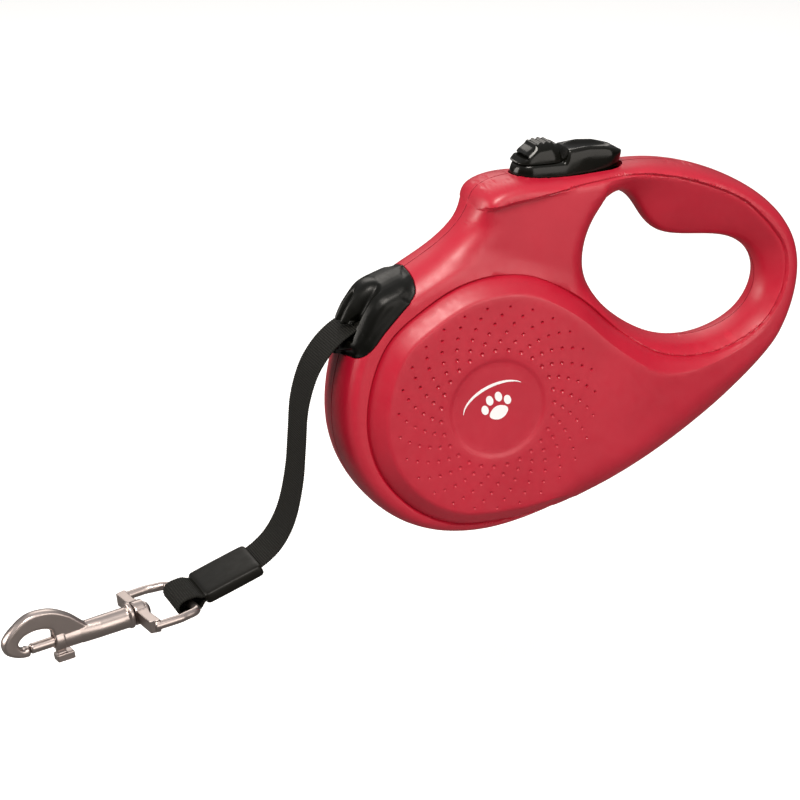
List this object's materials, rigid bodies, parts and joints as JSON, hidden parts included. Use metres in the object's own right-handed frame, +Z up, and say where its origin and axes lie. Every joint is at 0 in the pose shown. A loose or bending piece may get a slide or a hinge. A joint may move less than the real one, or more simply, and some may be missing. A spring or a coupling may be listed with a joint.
{
  "type": "retractable leash",
  "caption": "One-hand retractable tape leash: two-shell casing with hand loop, spring reel, thumb brake with lock, front outlet, tape end sleeve and swivel bolt snap.",
  "frame": {"origin": "on the reel axis, at the middle of the round seat in the left side panel", "axes": "+X towards the hand loop, -X the way the tape leaves, +Y from the left panel through the casing to the right panel along the reel axle, +Z up towards the thumb brake"},
  "size_m": [0.307, 0.042, 0.1734],
  "materials": {
    "red_plastic": "satin-gloss moulded ABS, fine moulding texture",
    "black_plastic": "polished black ABS",
    "natural_plastic": "unpigmented acetal, matt",
    "webbing": "flat woven polyester tape with fine cross ribs",
    "sleeve_rubber": "smooth soft vinyl, low sheen",
    "nickel": "nickel-plated zinc casting",
    "steel": "plain zinc-plated steel",
    "spring_steel": "blued spring steel"
  },
  "bodies": {
    "casing": {"left_casing": "red_plastic", "right_casing": "red_plastic", "nozzle_guide": "black_plastic", "reel_axle": "steel", "spring_arbor": "natural_plastic", "left_washer": "natural_plastic", "right_washer": "natural_plastic", "pawl_pin": "steel", "button_spring": "spring_steel", "casing_screw_1": "steel", "casing_screw_2": "steel", "casing_screw_3": "steel", "casing_screw_4": "steel", "casing_screw_5": "steel", "casing_screw_6": "steel", "casing_screw_7": "steel"},
    "reel": {"reel_drum": "natural_plastic", "spring_case": "natural_plastic", "spring_cover": "natural_plastic", "mainspring": "spring_steel", "tape_coil": "webbing", "tape_anchor_pin": "steel", "cover_screw_1": "steel", "cover_screw_2": "steel", "cover_screw_3": "steel"},
    "lead": {"lead_tape": "webbing", "tape_sleeve": "sleeve_rubber"},
    "swivel": {"swivel_eye": "nickel"},
    "hook": {"hook_body": "nickel", "bolt_spring": "spring_steel"},
    "bolt": {"hook_bolt": "nickel"},
    "button": {"brake_button": "black_plastic"},
    "lock": {"lock_slider": "black_plastic"},
    "pawl": {"brake_pawl": "natural_plastic"}
  },
  "joints": [
    {"name": "reel_spin", "type": "hinge", "parent": "casing", "child": "reel", "pos_m": [0, 0.0204, 0], "axis": [0, -1, 0], "range_deg": [0, 45]},
    {"name": "lead_payout", "type": "slide", "parent": "casing", "child": "lead", "axis": [-0.9744, 0, -0.225], "range_m": [0, 0.0333]},
    {"name": "eye_pivot", "type": "hinge", "parent": "lead", "child": "swivel", "pos_m": [-0.1134, 0.0204, -0.0653], "axis": [0.1392, -0.9903, 0], "range_deg": [-50, 50]},
    {"name": "hook_swivel", "type": "hinge", "parent": "swivel", "child": "hook", "pos_m": [-0.13236, 0.01774, -0.06788], "axis": [-0.9814, -0.1379, -0.1335], "continuous": true},
    {"name": "bolt_slide", "type": "slide", "parent": "hook", "child": "bolt", "axis": [0.9814, 0.1379, 0.1335], "range_m": [0, 0.006], "stiffness_N_per_m": 200, "springref_m": -0.004},
    {"name": "brake_press", "type": "slide", "parent": "casing", "child": "button", "axis": [0, 0, -1], "range_m": [0, 0.003], "stiffness_N_per_m": 300, "springref_m": -0.003, "deforming": ["button_spring"]},
    {"name": "lock_slide", "type": "slide", "parent": "button", "child": "lock", "axis": [-1, 0, 0], "range_m": [0, 0.003]},
    {"name": "pawl_pivot", "type": "hinge", "parent": "casing", "child": "pawl", "pos_m": [-0.006, 0.0204, 0.0545], "axis": [0, 1, 0], "range_deg": [0, 9.1]}
  ],
  "couplings": [
    {"joint": "lead_payout", "follows": "reel_spin", "m_per_rad": 0.0423},
    {"joint": "pawl_pivot", "follows": "brake_press", "rad_per_m": 52.632}
  ]
}
